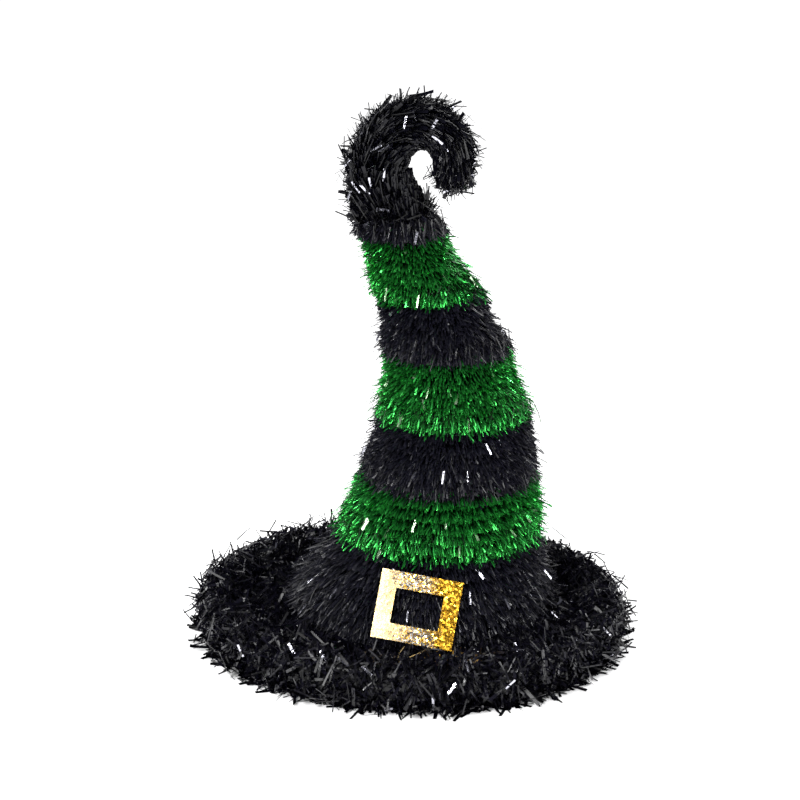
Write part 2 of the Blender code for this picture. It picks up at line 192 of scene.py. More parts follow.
def wire_middle(node):
    """Middle line of an open round wire, from its lowest end: its rings, met one after another."""
    surface = Surface(node)
    edges = np.concatenate([surface.faces[:, pair] for pair in ([0, 1], [1, 2], [2, 0])])
    beside = {}
    for a, b in edges.tolist():
        beside.setdefault(a, set()).add(b)
        beside.setdefault(b, set()).add(a)
    low = surface.points[:, 2].min()
    ring = set(np.flatnonzero(surface.points[:, 2] < low + END_RING).tolist())
    seen, line = set(), []
    while ring:
        line.append(surface.points[sorted(ring)].mean(axis=0))
        seen |= ring
        ring = set().union(*(beside[k] for k in ring)) - seen
    return np.array(line)


# ---------------------------------------------------------------- strips of film


class Pile:
    """Collects the faces of one piece, with each corner's place on the film's sheet."""

    def __init__(self):
        self.points, self.faces, self.sheet, self.sizes = [], [], [], []
        self.count = 0

    def add(self, points, faces, sheet):
        self.points.append(points.reshape(-1, 3))
        self.faces.append((faces + self.count).reshape(-1))
        self.sheet.append(sheet.reshape(-1, 2))
        self.sizes.append(np.full(len(faces), faces.shape[1]))
        self.count += len(self.points[-1])

    def add_body(self, points, faces, rng):
        """A closed surface, coloured with the painted shade of the strips' roots."""
        columns = rng.integers(0, GLINT, len(faces))
        corner_u = np.array((0.2, 0.8, 0.5))
        corner_v = np.array((0.2, 0.2, 0.8)) * ROOT_OF_PILE
        u = (columns[:, None] + corner_u) / COLUMNS
        sheet = np.stack([u, np.broadcast_to(corner_v, u.shape)], axis=2)
        self.add(points, faces, sheet)

    def add_strips(self, roots, tips, facing, widths, bow, twist, columns, quads):
        """Thin strips from root to tip: each bows towards the side it faces, and twists along."""
        count = len(roots)
        along = unit(tips - roots)
        facing = square_to(facing, along)
        steps = np.linspace(0, 1, quads + 1)
        middles, sides = [], []
        for t in steps:
            lift = facing * bow * 4 * t * (1 - t)
            middles.append(roots + (tips - roots) * t + lift)
            face = turned(facing, along, twist * (t - 1))
            sides.append(np.cross(along, face) * column(widths) / 2)
        middles, sides = np.stack(middles, axis=1), np.stack(sides, axis=1)
        grid = np.stack([middles - sides, middles + sides], axis=2)
        grid[..., 2] = np.maximum(grid[..., 2], FLOOR_CLEARANCE)
        first = np.arange(count)[:, None] * 2 * (quads + 1) + 2 * np.arange(quads)
        faces = np.stack([first, first + 1, first + 3, first + 2], axis=2).reshape(-1, 4)
        u = (columns[:, None] + np.array(STRIP_EDGES)) / COLUMNS
        u = np.repeat(u[:, None, :], quads + 1, axis=1)
        v = np.broadcast_to(ROOT_OF_PILE + (1 - ROOT_OF_PILE) * steps[None, :, None], u.shape)
        corners = np.stack([u, v], axis=3).reshape(-1, 2)
        self.add(grid, faces, corners[faces.reshape(-1)])

    def build(self, name, material):
        mesh = bpy.data.meshes.new(name)
        points = np.concatenate(self.points)
        corners = np.concatenate(self.faces)
        sizes = np.concatenate(self.sizes)
        mesh.vertices.add(len(points))
        mesh.vertices.foreach_set("co", points.ravel())
        mesh.loops.add(len(corners))
        mesh.loops.foreach_set("vertex_index", corners)
        mesh.polygons.add(len(sizes))
        mesh.polygons.foreach_set("loop_start", np.cumsum(sizes) - sizes)
        mesh.polygons.foreach_set("use_smooth", np.ones(len(sizes), bool))
        sheet = np.concatenate(self.sheet).ravel()
        for layer in ("sheet", "OFBake"):
            mesh.uv_layers.new(name=layer, do_init=False).data.foreach_set("uv", sheet)
        mesh.update(calc_edges=True)
        mesh.materials.append(material)
        made = bpy.data.objects.new(name, mesh)
        bpy.context.scene.collection.objects.link(made)
        return made


def columns_for(points, rng):
    """A tint for each strip: neighbours share a tone, and each differs a little."""
    waves = np.zeros(len(points))
    for turn, wave in enumerate(TONE_WAVES):
        phase = points @ (np.array(wave) / TONE_PATCH)
        waves += np.sin(phase + TONE_WAVE_STEP * turn)
    tones = about(rng, len(points), COLUMNS * (0.5 + waves / TONE_DAMPING), TONE_SCATTER)
    return np.clip(tones, 0, GLINT - 1).astype(int)


# ---------------------------------------------------------------- the buckle's place


class Card:
    """The buckle card's own axes, read from its CAD solid."""

    def __init__(self, node):
        surface = Surface(node)
        self.middle = surface.points.mean(axis=0)
        spread = surface.points - self.middle
        _, axes = np.linalg.eigh(spread.T @ spread)
        self.out, self.height, self.width = axes.T
        self.out = self.out * (-1 if self.out[1] > 0 else 1)
        self.width = self.width * (1 if self.width[0] > 0 else -1)
        self.height = self.height * (1 if self.height[2] > 0 else -1)
        local = self.to_card(surface.points)
        self.half = np.abs(local).max(axis=0)

    def to_card(self, points):
        """Across, up and out from the card's middle."""
        axes = np.stack([self.width, self.height, self.out])
        return (points - self.middle) @ axes.T


CARD = Card("buckle_card")


def press_under_card(points, rng):
    """Strips behind the card stay behind it, and those in its window lie flat."""
    local = CARD.to_card(points)
    behind = (np.abs(local[:, :2]) < CARD.half[:2] + CARD_MARGIN).all(axis=1)
    depth = -CARD.half[2] - between(rng, len(points), *BEHIND_CARD)
    too_far = behind & (local[:, 2] > depth) & (local[:, 2] < CARD_REACH)
    push = np.where(too_far, depth - local[:, 2], 0)
    return points + column(push) * CARD.out


def lay_strips(pile, rng, points, roots, tips, facing, widths, bow, twist, glint, quads):
    """Adds strips to the pile, the glinting ones with painted glint, and all of them clear of the card."""
    columns = np.where(glint, GLINT, columns_for(points, rng))
    tips = press_under_card(tips, rng)
    roots = press_under_card(roots, rng)
    pile.add_strips(roots, tips, facing, widths, column(bow), twist, columns, quads)


# ---------------------------------------------------------------- film


class Nodes:
    """Short ways to put nodes in a tree."""

    def __init__(self, tree):
        self.tree = tree

    def add(self, kind, inputs=None, **settings):
        node = self.tree.nodes.new(kind)
        for name, value in settings.items():
            setattr(node, name, value)
        for name, value in (inputs or {}).items():
            self.put(node.inputs[name], value)
        return node

    def put(self, socket, value):
        if isinstance(value, bpy.types.NodeSocket):
            self.tree.links.new(value, socket)
        elif isinstance(value, tuple) and len(value) == 3 and socket.type == "RGBA":
            socket.default_value = (*value, 1)
        else:
            socket.default_value = value

    def maths(self, operation, *values, clamp=False):
        node = self.add("ShaderNodeMath", operation=operation, use_clamp=clamp)
        for socket, value in zip(node.inputs, values):
            self.put(socket, value)
        return node.outputs[0]

    def mix(self, share, a, b):
        node = self.add("ShaderNodeMix", data_type="RGBA", clamp_factor=True)
        self.put(node.inputs[0], share)
        self.put(node.inputs[6], a)
        self.put(node.inputs[7], b)
        return node.outputs[2]

    def spread(self, value, low, high, out_low, out_high):
        """The value, moved from one range to another."""
        node = self.add("ShaderNodeMapRange", clamp=True)
        for socket, number in zip(node.inputs, (value, low, high, out_low, out_high)):
            self.put(socket, number)
        return node.outputs[0]

    def noise(self, place, scale, detail):
        return self.add("ShaderNodeTexNoise", {"Vector": place, "Scale": scale, "Detail": detail}).outputs[0]

    def streaks(self, across, along, third, detail):
        """Noise on the film's sheet, drawn out by how fast each place on it runs."""
        place = self.add("ShaderNodeCombineXYZ", {"X": across, "Y": along, "Z": third}).outputs[0]
        return self.noise(place, 1.0, detail)


def new_group(name, inputs, outputs):
    """An empty node group with named sockets. Returns its nodes, its input node and its output node."""
    tree = bpy.data.node_groups.new(name, "ShaderNodeTree")
    for label, kind, value in inputs:
        socket = tree.interface.new_socket(name=label, in_out="INPUT", socket_type=f"NodeSocket{kind}")
        socket.default_value = (*value, 1) if kind == "Color" else value
    for label, kind in outputs:
        tree.interface.new_socket(name=label, in_out="OUTPUT", socket_type=f"NodeSocket{kind}")
    nodes = Nodes(tree)
    return nodes, nodes.add("NodeGroupInput").outputs, nodes.add("NodeGroupOutput").inputs


# Film marks and painted tip and edge highlights. Along a strip, 0 is root, 1 tip; across it, 0.5 is its
# middle.
TINT_SHARE, TONE_SHARE = 0.45, 0.55
TIP_HIGHLIGHT_FADE = (0.6, 1.0)
EDGE_HIGHLIGHT_FADE, EDGE_HIGHLIGHT_SHARE = (0.36, 0.46), 0.4
SCRATCHES_ACROSS, SCRATCHES_ALONG, SCRATCH_DETAIL = 5.0, 2.5, 3.0
SCRATCH_FADE, SCRATCH_SHARE = (0.35, 0.75), 0.35
CREASES_ACROSS, CREASES_ALONG, CREASE_DETAIL = 1.3, 6.0, 2.0
CREASE_STRENGTH, CREASE_DEPTH = 0.4, 0.3 * MM
GLOSS_SHIFT = 41.5
SCRATCH_ROUGHNESS = 0.2
GLINT_ROUGHNESS_SHARE = 0.6


def cut_film_group():
    """Cut film: every column of the sheet is one strip with its own tint, with painted shade at its root and
    painted highlights at its tip and cut edges.
    """
    nodes, given, out = new_group(
        "cut_film",
        inputs=(
            ("Dark", "Color", (0.01, 0.01, 0.01)),
            ("Light", "Color", (0.05, 0.05, 0.05)),
            ("Tip", "Color", (0.1, 0.1, 0.1)),
            ("Glint Tint", "Color", (0.55, 0.55, 0.62)),
            ("Root Painted Shade", "Float", 0.3),
            ("Root End", "Float", 0.2),
            ("Root Fade", "Float", 0.8),
            ("Tip Highlight Share", "Float", 0.3),
            ("Roughness", "Float", 0.3),
            ("Roughness Spread", "Float", 0.2),
        ),
        outputs=(
            ("Color", "Color"),
            ("Roughness", "Float"),
            ("Painted Glint", "Float"),
            ("Height", "Float"),
        ),
    )
    sheet = nodes.add("ShaderNodeUVMap", uv_map="sheet").outputs[0]
    u, along, _ = nodes.add("ShaderNodeSeparateXYZ", {"Vector": sheet}).outputs
    across = nodes.maths("MULTIPLY", u, COLUMNS)
    strip = nodes.maths("FLOOR", across)
    within = nodes.maths("FRACT", across)
    tone = nodes.maths("DIVIDE", strip, COLUMNS)
    tint = nodes.add("ShaderNodeTexWhiteNoise", {"W": strip}, noise_dimensions="1D").outputs[0]
    shifted = nodes.maths("ADD", strip, GLOSS_SHIFT)
    gloss = nodes.add("ShaderNodeTexWhiteNoise", {"W": shifted}, noise_dimensions="1D").outputs[0]
    scratches = nodes.streaks(
        nodes.maths("MULTIPLY", across, SCRATCHES_ACROSS),
        nodes.maths("MULTIPLY", along, SCRATCHES_ALONG),
        tone,
        SCRATCH_DETAIL,
    )
    creases = nodes.streaks(
        nodes.maths("MULTIPLY", across, CREASES_ACROSS),
        nodes.maths("MULTIPLY", along, CREASES_ALONG),
        gloss,
        CREASE_DETAIL,
    )

    tint_part = nodes.maths("MULTIPLY", tint, TINT_SHARE)
    share = nodes.maths("ADD", tint_part, nodes.maths("MULTIPLY", tone, TONE_SHARE))
    colour = nodes.mix(share, given["Dark"], given["Light"])
    # Painted highlight: each strip lightens towards its tip in the Tip colour, which also draws the film's
    # streaks.
    tip = nodes.spread(along, *TIP_HIGHLIGHT_FADE, 0.0, 1.0)
    colour = nodes.mix(nodes.maths("MULTIPLY", tip, given["Tip Highlight Share"]), colour, given["Tip"])
    colour = nodes.mix(nodes.spread(scratches, *SCRATCH_FADE, 0.0, SCRATCH_SHARE), colour, given["Tip"])
    # Painted highlight: each strip's cut edges are mixed towards the Light tint.
    off_middle = nodes.maths("ABSOLUTE", nodes.maths("SUBTRACT", within, 0.5))
    edge = nodes.spread(off_middle, *EDGE_HIGHLIGHT_FADE, 0.0, EDGE_HIGHLIGHT_SHARE)
    colour = nodes.mix(edge, colour, given["Light"])
    # Painted shade: each strip darkens towards its root, and the under-pile takes the darkest of it.
    root = nodes.spread(along, given["Root End"], given["Root Fade"], given["Root Painted Shade"], 1.0)
    shaded = nodes.add("ShaderNodeVectorMath", {0: colour, "Scale": root}, operation="SCALE")
    # Painted glint: strips in the last column take a bright metal tint that stands in for the glints of the
    # odd strip of film.
    foil = nodes.maths("GREATER_THAN", strip, GLINT - 0.5)
    foil = nodes.maths("MULTIPLY", foil, nodes.maths("GREATER_THAN", along, ROOT_OF_PILE))

    swing = nodes.maths("MULTIPLY", nodes.maths("SUBTRACT", gloss, 0.5), given["Roughness Spread"])
    rough = nodes.maths("ADD", given["Roughness"], swing)
    worn = nodes.maths("MULTIPLY", nodes.maths("SUBTRACT", scratches, 0.5), SCRATCH_ROUGHNESS)
    rough = nodes.maths("ADD", rough, worn, clamp=True)
    smoother = nodes.spread(foil, 0.0, 1.0, 1.0, GLINT_ROUGHNESS_SHARE)
    nodes.put(out["Color"], nodes.mix(foil, shaded.outputs[0], given["Glint Tint"]))
    nodes.put(out["Roughness"], nodes.maths("MULTIPLY", rough, smoother))
    nodes.put(out["Painted Glint"], foil)
    nodes.put(out["Height"], creases)
    return nodes.tree


def new_material(name, **constants):
    """A material whose Principled shader has these fixed values on its own sockets."""
    made = bpy.data.materials.new(name)
    made.use_nodes = True
    shader = made.node_tree.nodes["Principled BSDF"]
    for socket, value in constants.items():
        label = socket.replace("_", " ")
        shader.inputs[label].default_value = (*value, 1) if isinstance(value, tuple) else value
    return made, Nodes(made.node_tree), shader.inputs


def use_group(nodes, group, values):
    node = nodes.add("ShaderNodeGroup", node_tree=group)
    for name, value in values.items():
        nodes.put(node.inputs[name], value)
    return node.outputs


def add_bump(nodes, shader, height, strength, depth):
    bump = nodes.add("ShaderNodeBump", {"Height": height, "Strength": strength, "Distance": depth})
    nodes.put(shader["Normal"], bump.outputs[0])


def film_material(name, group, values, **constants):
    """Cut film. Where no metal is given, only its painted-glint strips are metal."""
    made, nodes, shader = new_material(name, **constants)
    film = use_group(nodes, group, values)
    if "Metallic" not in constants:
        nodes.put(shader["Metallic"], film["Painted Glint"])
    nodes.put(shader["Base Color"], film["Color"])
    nodes.put(shader["Roughness"], film["Roughness"])
    add_bump(nodes, shader, film["Height"], CREASE_STRENGTH, CREASE_DEPTH)
    return made


# ---------------------------------------------------------------- garlands of the crown


# A glinting strip is always this long.
GLINT_LENGTH = 8 * MM

# A band's faces count as outer or inner by how far they look away from the crown's axis.
OUTER_SIDE = 0.1
INNER_SIDE = -0.4
EDGE_SECTORS = 20

# Rows of fine strips: their spacing, their bunches and how ragged they end.
ROW = 6.6 * MM
ROW_SCATTER = 0.22
ROW_WAVE, ROW_WAVES_ROUND = 0.9 * MM, 3
ROW_RAGGED = 1.8 * MM
HEM_RAGGED = 2.4 * MM
TIP_SCATTER = 0.6 * MM
BUNCH = 2.8 * MM
BUNCH_REACH = 20 * MM
BUNCHES_PER_ROW = 977
RAGGED_SEED, TILT_SEED, SWAY_SEED = 1.3, 4.1, 7.7

# How the band fills out at its shoulder and tucks in at its foot, as shares of its height.
SHOULDER = (0.6, 1.0)
FOOT = (1 / 3, 0.0)
FOOT_TUCK = 1.2
FOLLOWS_AXIS = 0.8
LEAST_FALL = 0.3

# How far fine strips stand off the surface, in millimetres.
FINE_LIFT = (0.2, 1.0)
FINE_STRAYS, FINE_STRAY_LIFT, FINE_STRAY_SKEW = 0.2, (1.5, 8.0), 1.4
FINE_GLINTS, FINE_GLINT_LIFT = 0.003, (1.2, 3.2)

# How fine strips hang and turn, in degrees.
COMBED = 33
COMBED_MORE_BELOW = 12
BUNCH_TILT, TILT_SCATTER = 16, 9
STRAY_TILT, GLINT_TILT = -12, 20
BUNCH_SWAY, SWAY_SCATTER = 20, 7
FINE_ROLL, FINE_GLINT_ROLL, FINE_TWIST = 30, 25, 20
FACES_UP = 1.2

# Sizes of fine strips, as shares of their length and width.
FINE_WIDTH = 0.75 * MM
FINE_LENGTHS, FINE_WIDTHS = (0.85, 1.15), (0.65, 1.35)
FINE_WIDE_SHARE, FINE_WIDE = 0.03, 2.0
FINE_STRAY_WIDTH = 0.65
FINE_GLINT_WIDTHS = (1.0 * MM, 1.7 * MM)
FINE_BOW = (0.03, 0.03)
FINE_QUADS = 2

# Under-pile of a band, and the short strips of its hollow side.
BAND_INSET, BAND_ROUGHNESS = 4.5 * MM, 0.5 * MM
INSIDE_SHARE = 10
INSIDE_ROOT = 3 * MM
INSIDE_LENGTHS, INSIDE_WIDTHS = (3.6 * MM, 4.8 * MM), (0.88 * MM, 1.43 * MM)
INSIDE_SWAY, INSIDE_TURN, INSIDE_TWIST = 0.9, 3.0, 0.5
INSIDE_BOW = 0.3 * MM


def looks_out(surface, axis):
    """How far each face of a band looks away from the crown's axis, from -1 to 1."""
    return dot(surface.face_normals, axis.outward(surface.middles))[:, 0]


def hashed(values, seed):
    """A steady number from -0.5 to 0.5 for each whole number."""
    return np.modf(np.abs(np.sin(values * 12.9898 + seed) * 43758.5453))[0] - 0.5


def lower_edge(surface, axis, around):
    """Height of a band's lower edge at each angle round it."""
    out = axis.outward(surface.points)
    angles = np.arctan2(out[:, 1], out[:, 0])
    sector = np.floor((angles / (2 * np.pi) + 0.5) * EDGE_SECTORS).astype(int) % EDGE_SECTORS
    lows = np.array([surface.points[sector == k, 2].min() for k in range(EDGE_SECTORS)])
    middles = (np.arange(EDGE_SECTORS) + 0.5) / EDGE_SECTORS * 2 * np.pi - np.pi
    return np.interp(around, middles, lows, period=2 * np.pi)


def row_heights(rng, heights, around, level, hem, ragged, loose):
    """The height that each tip is combed to: its row's, or its own where the strip is loose."""
    count = len(heights)
    free = rng.random(count) < loose
    aim = hem + ROW * level + ROW_RAGGED * ragged
    aim = aim + ROW_WAVE * np.sin(ROW_WAVES_ROUND * around + level)
    aim = np.where(free, heights, about(rng, count, aim, TIP_SCATTER))
    frayed = TIP_SCATTER * np.abs(rng.standard_normal(count))
    return np.maximum(aim, hem + HEM_RAGGED * ragged - frayed)


def crown_rows(
    pile,
    surface,
    axis,
    rng,
    count,
    length=13 * MM,
    loose=0.75,
    clear=1.0 * MM,
    rise=1.0 * MM,
    puff=4.2,
):
    """Fine strips in rows round a band, combed outwards and down, in bunches that end together."""
    points, normals = surface.sample(looks_out(surface, axis) > OUTER_SIDE, count, rng)
    out = axis.outward(points)
    normals = unit(normals + FOLLOWS_AXIS * out)
    down = square_to(np.broadcast_to(-UP, normals.shape), normals)
    side = np.cross(down, out)

    # Rows and bunches.
    around = np.arctan2(out[:, 1], out[:, 0])
    heights = points[:, 2]
    low = lower_edge(surface, axis, around)
    high = surface.points[:, 2].max()
    reach = np.linalg.norm(points[:, :2], axis=1).mean() + BUNCH_REACH
    level = np.round(about(rng, count, (heights - low) / ROW, ROW_SCATTER))
    bunch = np.floor(around * reach / BUNCH) + BUNCHES_PER_ROW * level
    aim = row_heights(rng, heights, around, level, low + clear, hashed(bunch, RAGGED_SEED), loose)
    shift = np.clip((heights - aim) / np.maximum(-down[:, 2], LEAST_FALL), -ROW, ROW)
    share = np.clip((heights - low) / (high - low), 0, 1)
    shoulder = ramp(share, *SHOULDER)
    tips = points + down * column(shift) + column(rise * shoulder) * UP

    # How far each tip stands off.
    lift = about(rng, count, *FINE_LIFT) + puff * shoulder - FOOT_TUCK * ramp(share, *FOOT)
    stray = rng.random(count) < FINE_STRAYS
    lift = np.where(stray, between(rng, count, *FINE_STRAY_LIFT, skew=FINE_STRAY_SKEW), lift)
    glint = rng.random(count) < FINE_GLINTS
    lift = np.where(glint, between(rng, count, *FINE_GLINT_LIFT), lift)
    tips = tips + unit(normals + out) * column(lift * MM)

    # Which way each strip runs.
    tilt = COMBED + COMBED_MORE_BELOW * (0.5 - share) + BUNCH_TILT * hashed(bunch, TILT_SEED)
    tilt = about(rng, count, tilt, TILT_SCATTER)
    tilt = np.where(stray, tilt + STRAY_TILT, tilt)
    tilt = np.radians(np.where(glint, tilt + GLINT_TILT, tilt))
    sway = np.radians(about(rng, count, BUNCH_SWAY * hashed(bunch, SWAY_SEED), SWAY_SCATTER))
    along = out * column(np.cos(tilt)) + down * column(np.sin(tilt)) + side * column(np.tan(sway))
    along = unit(along)
    lengths = np.where(glint, GLINT_LENGTH, length * between(rng, count, *FINE_LENGTHS))
    roots = tips - along * column(lengths)

    # How it faces, and how wide and straight it is.
    facing = square_to(out + FACES_UP * UP, along)
    roll = np.radians(np.where(glint, FINE_GLINT_ROLL, FINE_ROLL)) * rng.standard_normal(count)
    facing = turned(facing, along, roll)
    wide = rng.random(count) < FINE_WIDE_SHARE
    widths = FINE_WIDTH * between(rng, count, *FINE_WIDTHS)
    widths = np.where(wide, FINE_WIDE * FINE_WIDTH, widths)
    widths = np.where(stray, FINE_STRAY_WIDTH * widths, widths)
    widths = np.where(glint, between(rng, count, *FINE_GLINT_WIDTHS), widths)
    bow = np.where(glint, 0, length * about(rng, count, *FINE_BOW))
    twist = np.where(glint, 0, np.radians(FINE_TWIST) * rng.standard_normal(count))
    lay_strips(pile, rng, points, roots, tips, facing, widths, bow, twist, glint, FINE_QUADS)


def inside_rows(pile, surface, axis, rng, count):
    """Short strips that show between the wires on the hollow side."""
    points, normals = surface.sample(looks_out(surface, axis) < INNER_SIDE, count, rng)
    roots = points - normals * INSIDE_ROOT
    sway = INSIDE_SWAY * rng.standard_normal((count, 3))
    along = unit(normals + square_to(sway, normals) * np.abs(column(sway[:, 0])))
    tips = roots + along * column(between(rng, count, *INSIDE_LENGTHS))
    facing = turned(square_to(sway, along), along, between(rng, count, 0, INSIDE_TURN))
    widths = between(rng, count, *INSIDE_WIDTHS)
    bow = column(about(rng, count, 0, INSIDE_BOW))
    twist = about(rng, count, 0, INSIDE_TWIST)
    columns = columns_for(points, rng)
    pile.add_strips(roots, tips, facing, widths, bow, twist, columns, FINE_QUADS)


def dress(pile, node, material):
    """Builds a piece and puts it on the hat's one body, in place of its garland's CAD node."""
    piece = pile.build(node.replace("garland", "tinsel"), material)
    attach(piece, "root")
    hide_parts(node)


def band_tinsel(node, seed, count, material, settings):
    """One band of the crown: its under-pile, its rows of strips and its hollow side."""
    rng = np.random.default_rng(seed)
    surface = Surface(node)
    axis = Axis(surface)
    pile = Pile()
    points, faces = surface.shrunk(BAND_INSET, BAND_ROUGHNESS, rng)
    pile.add_body(points, faces, rng)
    crown_rows(pile, surface, axis, rng, count, **settings)
    inside_rows(pile, surface, axis, rng, count // INSIDE_SHARE)
    dress(pile, node, material)


# ---------------------------------------------------------------- coarse garlands


# Coarse strips: sizes as shares of their length and width, and angles in degrees.
COARSE_LENGTHS, COARSE_WIDTHS = (0.75, 1.25), (0.6, 1.3)
COARSE_ROLL, BROAD_ROLL = 60, 22
COARSE_TWIST, BROAD_TWIST, GLINT_TWIST = 30, 10, 3
COARSE_BOW = (0.01, 0.03)
COARSE_TURN = 0.3
COARSE_QUADS = 3
BROAD_SHARE, BROAD_WIDTHS = 0.035, (1.6 * MM, 2.6 * MM)
FAR_LIFT, FAR_WIDTH = 3 * MM, 0.7
GLINT_LEANS, GLINT_LIFTS, GLINT_WIDTH = (60, 74), (1.7 * MM, 3.5 * MM), 0.65
MOST_LEAN = 66

# The brim's garland, with lifts in millimetres and leans in degrees.
BRIM_INSET, BRIM_ROUGHNESS, BRIM_BODY_CLEARANCE = 3.5 * MM, 0.4 * MM, 1.2 * MM
BRIM_TOP = -0.4
BRIM_LENGTH, BRIM_WIDTH, BRIM_GLINTS = 16 * MM, 1.35 * MM, 0.012
BRIM_STEEP, BRIM_FLAT, BRIM_FLAT_SHARE = 34, (48, 70), 0.45
BRIM_LIFT, BRIM_FLAT_LIFT = (0.4, 2.2), (-0.4, 2.6)
BRIM_STRAYS, BRIM_STRAY_LIFT, BRIM_STRAY_SKEW = 0.14, (2.5, 11.0), 1.3
UNDER_FACING, UNDER_HEIGHT, UNDER_SHARE = -0.9, 1 * MM, 7
UNDER_RISE, UNDER_LEAN, UNDER_ROLL = 1.6 * MM, 86.0, 12
UNDER_LENGTH, UNDER_WIDTH = 15 * MM, 2.4 * MM

# The curled tip, with lifts in millimetres and leans in degrees.
TIP_INSET, TIP_ROUGHNESS = 4 * MM, 0.4 * MM
TIP_LENGTH, TIP_WIDTH, TIP_GLINTS, TIP_BROAD_SHARE = 13 * MM, 0.85 * MM, 0.008, 0.07
TIP_STEEP, TIP_FLAT, TIP_FLAT_SHARE = 30, (58, 80), 0.22
TIP_LIFT, TIP_FLAT_LIFT = (0.2, 1.9), (-0.6, 1.0)
TIP_STRAYS, TIP_STRAY_LIFT = 0.16, (2.5, 9.0)
TIP_WIRE_CLEAR, TIP_WIRE_SEARCH = 4 * MM, 8 * MM
CURL_SPAN = 50 * MM
EYE_FLATTENED = (1, 0.3, 1)
EYE_SIDE, EYE_FADE = (-0.15, 0.35), (30 * MM, 24 * MM)
EYE_OPEN_END = 13 * MM
EYE_LEAN, EYE_LIFT, EYE_SWEEP = (0, 14), (-1.1, -0.4), 4
BROADSIDE, BROADSIDE_LEAN, BROADSIDE_SWEEP = (0.25, 0.75), 0.6, 1.7
TIP_SWEEP = (0.15, 0.35)
NEAR_EYE = 0.1


def coarse_strips(
    pile,
    points,
    normals,
    rng,
    lean,
    lift,
    length,
    width,
    sweep=0.0,
    roll=COARSE_ROLL,
    glints=0.0,
    wide=BROAD_SHARE,
):
    """Strips that leave the garland every which way about its normals: most narrow, a few wide."""
    count = len(points)
    random = rng.standard_normal((count, 3))
    aside = square_to(random, normals)
    glint = rng.random(count) < glints
    lean = np.where(glint, between(rng, count, *GLINT_LEANS), lean)
    lift = np.where(glint, between(rng, count, *GLINT_LIFTS), lift)
    along = unit(normals + aside * column(np.tan(np.radians(lean))) + sweep)
    tips = points + normals * column(lift)
    lengths = np.where(glint, GLINT_LENGTH, length * between(rng, count, *COARSE_LENGTHS))
    roots = tips - along * column(lengths)
    facing = square_to(normals + COARSE_TURN * random, along)
    broad = glint | (rng.random(count) < wide)
    angle = np.radians(np.where(broad, BROAD_ROLL, roll)) * rng.standard_normal(count)
    facing = turned(facing, along, angle)
    widths = width * between(rng, count, *COARSE_WIDTHS)
    widths = np.where(lift > FAR_LIFT, FAR_WIDTH * widths, widths)
    widths = np.where(broad, between(rng, count, *BROAD_WIDTHS), widths)
    widths = np.where(glint, GLINT_WIDTH * widths, widths)
    bow = np.where(glint, 0, length * about(rng, count, *COARSE_BOW))
    twist = np.where(glint, GLINT_TWIST, np.where(broad, BROAD_TWIST, COARSE_TWIST))
    twist = np.radians(twist) * rng.standard_normal(count)
    lay_strips(pile, rng, points, roots, tips, facing, widths, bow, twist, glint, COARSE_QUADS)


def leans(rng, count, lying, steep, flat):
    """How far each strip leans off the normal: some stand up, some lie down."""
    down = rng.random(count) < lying
    standing = np.clip(np.abs(steep * rng.standard_normal(count)), 0, MOST_LEAN)
    return np.where(down, between(rng, count, *flat), standing), down


def brim_tinsel(node, seed, count, material):
    """One turn of the brim's garland: shaggy above, pressed flat below."""
    rng = np.random.default_rng(seed)
    surface = Surface(node)
    pile = Pile()
    points, faces = surface.shrunk(BRIM_INSET, BRIM_ROUGHNESS, rng)
    points[:, 2] = np.maximum(points[:, 2], BRIM_BODY_CLEARANCE)
    pile.add_body(points, faces, rng)

    points, normals = surface.sample(surface.face_normals[:, 2] > BRIM_TOP, count, rng)
    lean, lying = leans(rng, count, BRIM_FLAT_SHARE, BRIM_STEEP, BRIM_FLAT)
    stray = rng.random(count) < BRIM_STRAYS
    flat_lift = between(rng, count, *BRIM_FLAT_LIFT)
    lift = np.where(lying, flat_lift, about(rng, count, *BRIM_LIFT))
    lift = np.where(stray, between(rng, count, *BRIM_STRAY_LIFT, skew=BRIM_STRAY_SKEW), lift)
    coarse_strips(
        pile, points, normals, rng, lean, lift * MM, BRIM_LENGTH, BRIM_WIDTH, glints=BRIM_GLINTS
    )

    below = (surface.face_normals[:, 2] < UNDER_FACING) & (surface.middles[:, 2] < UNDER_HEIGHT)
    under = count // UNDER_SHARE
    points, normals = surface.sample(below, under, rng)
    points[:, 2] = between(rng, under, 0, UNDER_RISE)
    lean, lift = np.full(under, UNDER_LEAN), np.zeros(under)
    coarse_strips(
        pile, points, normals, rng, lean, lift, UNDER_LENGTH, UNDER_WIDTH, roll=UNDER_ROLL
    )
    dress(pile, node, material)


def eye_side(points, normals, line):
    """How much each place is on the eye's side of the curl, from 0 to 1."""
    curl = line[line[:, 2] > line[:, 2].max() - CURL_SPAN]
    eye = curl.mean(axis=0)
    towards_eye = unit((eye - points) * np.array(EYE_FLATTENED))
    side = ramp(dot(normals, towards_eye)[:, 0], *EYE_SIDE)
    near = ramp(np.linalg.norm(eye - points, axis=1), *EYE_FADE)
    return side * near * (np.linalg.norm(line[-1] - points, axis=1) > EYE_OPEN_END)


